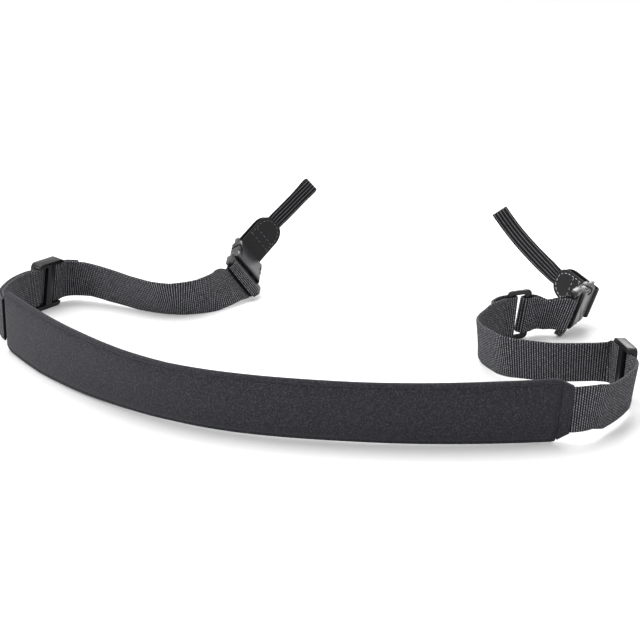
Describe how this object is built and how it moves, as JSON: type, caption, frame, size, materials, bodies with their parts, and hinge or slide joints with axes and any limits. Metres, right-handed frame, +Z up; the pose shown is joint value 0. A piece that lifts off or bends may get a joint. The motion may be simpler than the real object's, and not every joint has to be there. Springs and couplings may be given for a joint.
{
  "type": "camera neck strap",
  "caption": "Camera neck strap laid in an open loop on its lower edges: a curved padded neck section, flat webbing arms with sliders, side-release buckles, leather tabs and ribbed lug straps.",
  "frame": {"origin": "centre of the strap's bounding box, on the floor that its lower edges stand on", "axes": "+Z up; +X from the slider end of the pad's left arm towards its right arm; the pad's long curve bows towards -Y and the lug straps end towards +Y"},
  "size_m": [0.3646, 0.3354, 0.0672],
  "materials": {
    "neoprene": "fine jersey-faced foam, soft matt sheen",
    "nylon_webbing": "ribbed flat weave, matt",
    "black_plastic": "moulded, semi-gloss",
    "black_leather": "smooth, satin"
  },
  "bodies": {
    "root": {"neck_pad": "neoprene", "pad_end_tab": "neoprene", "right_webbing": "nylon_webbing", "right_outer_slider": "black_plastic", "right_strap_ring": "black_plastic", "right_link_webbing": "nylon_webbing", "right_buckle_plug": "black_plastic", "right_buckle_socket": "black_plastic", "right_leather_tab": "black_leather", "right_lug_strap": "nylon_webbing", "left_webbing": "nylon_webbing", "left_tail_webbing": "nylon_webbing", "left_slider": "black_plastic", "left_buckle_plug": "black_plastic", "left_buckle_socket": "black_plastic", "left_leather_tab": "black_leather", "left_lug_strap": "nylon_webbing"}
  },
  "joints": []
}
